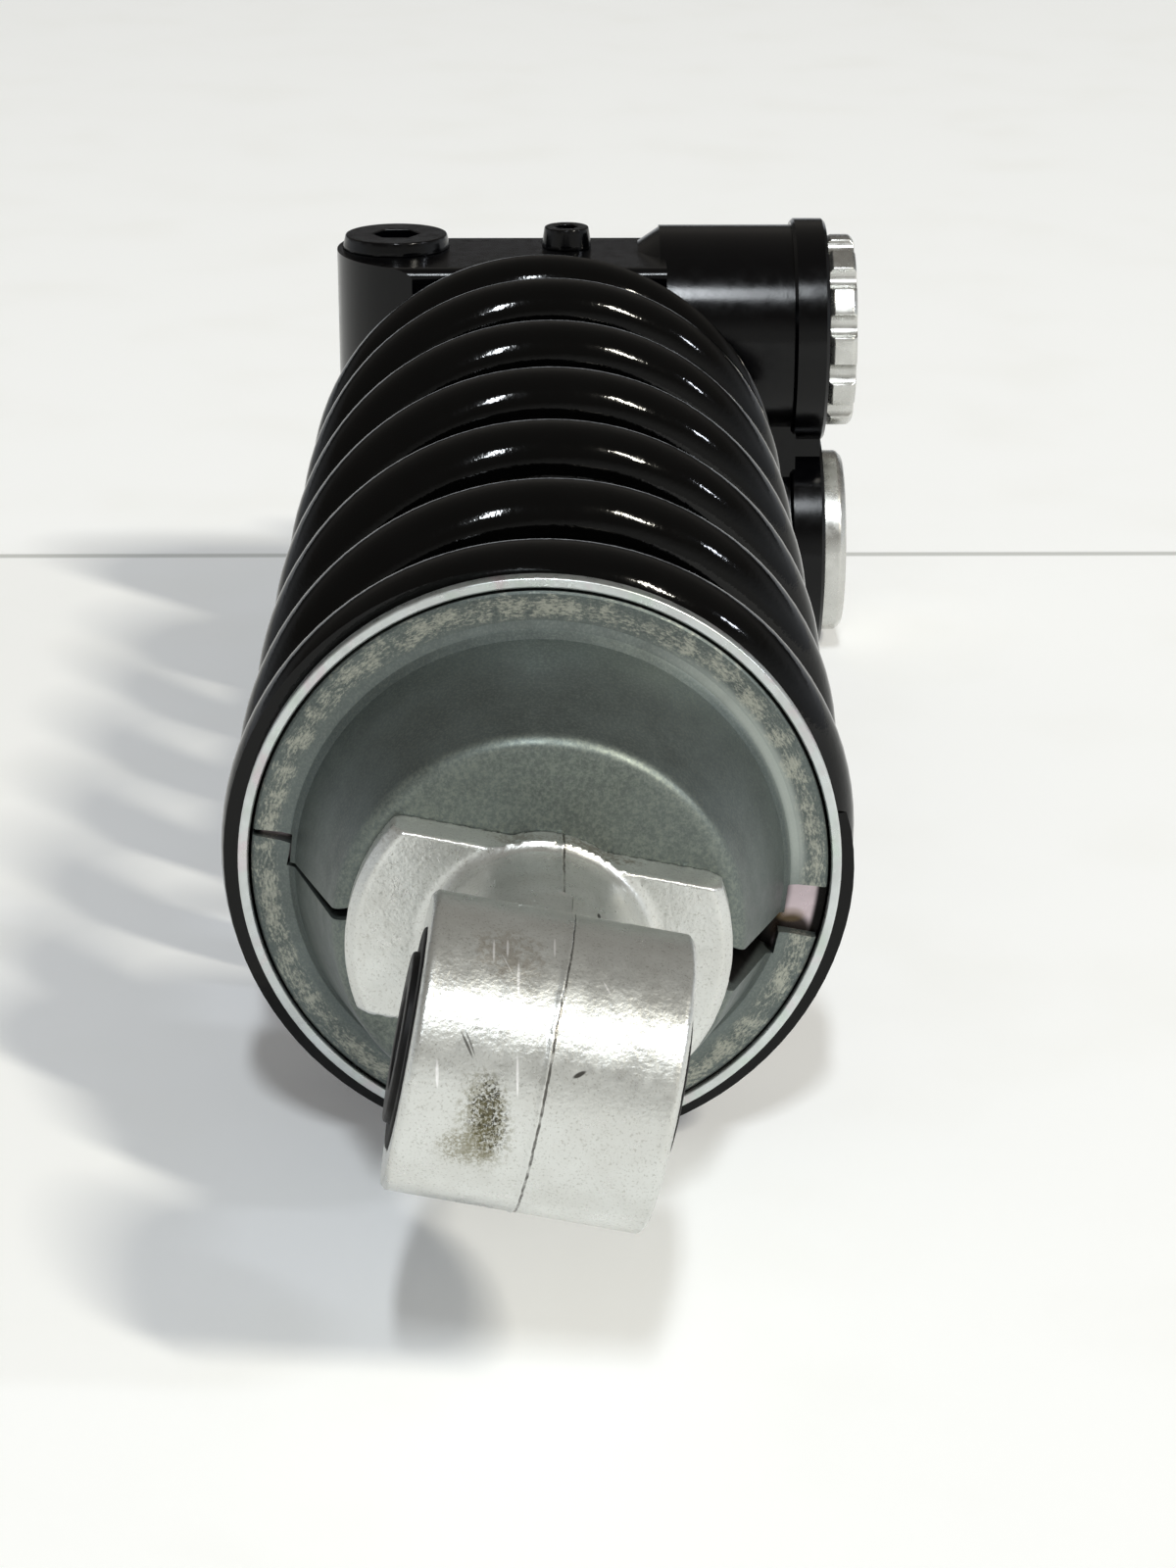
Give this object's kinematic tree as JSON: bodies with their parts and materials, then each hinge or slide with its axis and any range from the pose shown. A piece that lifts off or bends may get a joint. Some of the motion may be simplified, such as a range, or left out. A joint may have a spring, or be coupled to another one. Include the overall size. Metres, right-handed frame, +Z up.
{
  "type": "motorcycle rear shock absorber",
  "caption": "Coil-over rear shock absorber with a cast lower eye, a split spring collar in a pressed cup, a closed-end coil spring and a cross-barrel head with its adjusters.",
  "frame": {"origin": "centre of the lower eye's bore", "axes": "+Y along the damper from the lower eye to the head, +X towards the knob and cap, +Z up as it lies"},
  "size_m": [0.1009, 0.355, 0.0849],
  "materials": {
    "cast_silver": "shot-blasted cast",
    "cast_grey": "matt cast",
    "zinc_plate": "bright zinc",
    "spring_black": "gloss powder coat",
    "head_black": "satin black",
    "black_anodised": "satin anodised",
    "tube_black": "satin black",
    "chrome_rod": "hard chrome",
    "machined_silver": "turned",
    "bearing_steel": "ground",
    "black_oxide": "black oxide, oiled",
    "black_rubber": "matt",
    "bump_foam": "matt foam",
    "bronze": "turned",
    "nylon": "moulded"
  },
  "bodies": {
    "damper": {"head": "head_black", "damper_tube": "tube_black", "seal_head": "machined_silver", "rod_bush": "bronze", "rod_seal": "black_rubber", "rod_wiper": "black_rubber", "seal_circlip": "zinc_plate", "valve_cartridge": "machined_silver", "reservoir_cap": "machined_silver", "gas_valve": "bronze", "filler_plug": "head_black", "bleed_screw": "head_black", "upper_bush_shell": "bearing_steel", "upper_bush_rubber": "black_rubber", "spring": "spring_black"},
    "lower_seat": {"seat_cup": "zinc_plate"},
    "rod": {"lower_mount": "cast_silver", "bearing_cup": "bearing_steel", "bearing_needles": "bearing_steel", "dust_seal_left": "black_rubber", "dust_seal_right": "black_rubber", "collar_upper_half": "cast_grey", "collar_lower_half": "cast_grey", "piston_rod": "chrome_rod", "bump_washer": "zinc_plate", "bump_stop": "bump_foam", "top_out_ring": "bump_foam", "piston": "machined_silver", "piston_band": "nylon", "rebound_shims": "bearing_steel", "compression_shims": "bearing_steel", "piston_nut": "bearing_steel"},
    "lower_bolt_sleeve": {"lower_sleeve": "black_oxide"},
    "upper_bolt_sleeve": {"upper_sleeve": "bearing_steel"},
    "spring_seat": {"upper_seat": "black_anodised", "slip_washer": "nylon"},
    "preload_rings": {"preload_ring": "black_anodised", "lock_ring": "black_anodised"},
    "compression_dial": {"compression_knob": "machined_silver"},
    "high_speed_dial": {"high_speed_screw": "bronze"},
    "gas_piston": {"floating_piston": "machined_silver", "piston_oring": "black_rubber"}
  },
  "joints": [
    {"name": "stroke", "type": "slide", "parent": "damper", "child": "lower_seat", "axis": [0, 1, 0], "range_m": [0, 0.06], "stiffness_N_per_m": 90000, "springref_m": -0.005, "deforming": ["spring"]},
    {"name": "rod_turn", "type": "hinge", "parent": "lower_seat", "child": "rod", "pos_m": [0, 0, 0], "axis": [0, 1, 0], "continuous": true},
    {"name": "lower_sleeve_turn", "type": "hinge", "parent": "rod", "child": "lower_bolt_sleeve", "pos_m": [0, 0, 0], "axis": [0.9806, 0, -0.1959], "continuous": true},
    {"name": "upper_sleeve_twist", "type": "hinge", "parent": "damper", "child": "upper_bolt_sleeve", "pos_m": [0, 0.322, 0], "axis": [1, 0, 0], "range_deg": [-15, 15], "stiffness_Nm_per_rad": 15},
    {"name": "preload_travel", "type": "slide", "parent": "damper", "child": "spring_seat", "axis": [0, -1, 0], "range_m": [0, 0.008], "deforming": ["spring"]},
    {"name": "preload_turn", "type": "hinge", "parent": "spring_seat", "child": "preload_rings", "pos_m": [0, 0.257, 0], "axis": [0, -1, 0], "range_deg": [0, 1441]},
    {"name": "compression_turn", "type": "hinge", "parent": "damper", "child": "compression_dial", "pos_m": [0.0558, 0.29, 0.0193], "axis": [1, 0, 0], "range_deg": [0, 720]},
    {"name": "high_speed_turn", "type": "hinge", "parent": "damper", "child": "high_speed_dial", "pos_m": [0.0558, 0.29, 0.0193], "axis": [1, 0, 0], "range_deg": [0, 720]},
    {"name": "gas_piston_travel", "type": "slide", "parent": "damper", "child": "gas_piston", "axis": [1, 0, 0], "range_m": [0, 0.0151]}
  ],
  "couplings": [
    {"joint": "preload_turn", "follows": "preload_travel", "rad_per_m": 3141.6},
    {"joint": "gas_piston_travel", "follows": "stroke", "ratio": 0.25}
  ]
}
